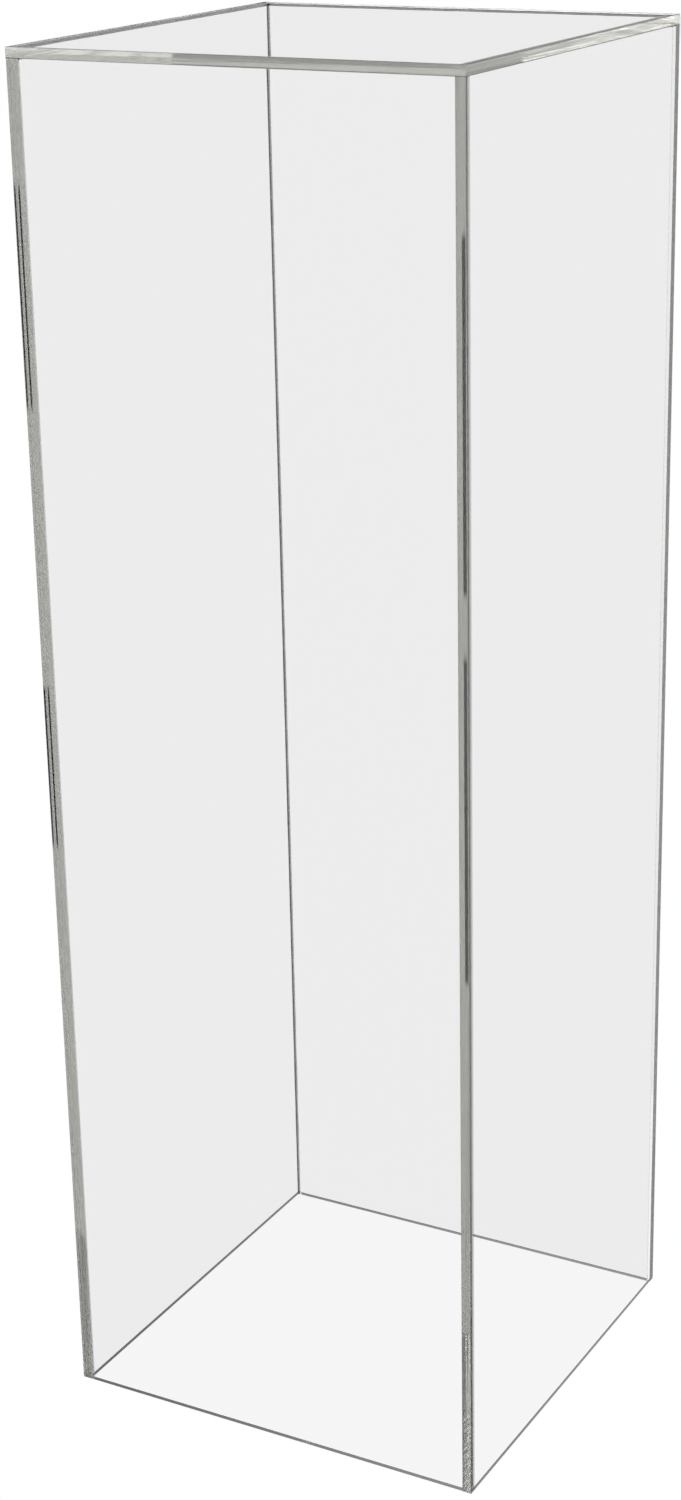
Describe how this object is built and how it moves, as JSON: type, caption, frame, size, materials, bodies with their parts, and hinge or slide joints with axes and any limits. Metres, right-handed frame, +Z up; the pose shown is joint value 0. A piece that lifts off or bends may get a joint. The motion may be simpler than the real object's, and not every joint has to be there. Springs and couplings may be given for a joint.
{
  "type": "acrylic display cover",
  "caption": "Tall square clear acrylic display cover: upright walls and a top, cemented edge to face, open at the bottom so that it lowers over an exhibit.",
  "frame": {"origin": "centre of the open rim, on the surface that the cover stands on", "axes": "+Z up to the closed top; -Y is the outward normal of front_wall; +X is the outward normal of right_wall"},
  "size_m": [0.3048, 0.3048, 0.9144],
  "materials": {
    "acrylic": "polished",
    "cement": "satin"
  },
  "bodies": {
    "root": {"top_sheet": "acrylic", "front_wall": "acrylic", "right_wall": "acrylic", "back_wall": "acrylic", "left_wall": "acrylic", "joint_front_right": "cement", "joint_back_right": "cement", "joint_back_left": "cement", "joint_front_left": "cement", "joint_top_front": "cement", "joint_top_right": "cement", "joint_top_back": "cement", "joint_top_left": "cement"}
  },
  "joints": []
}
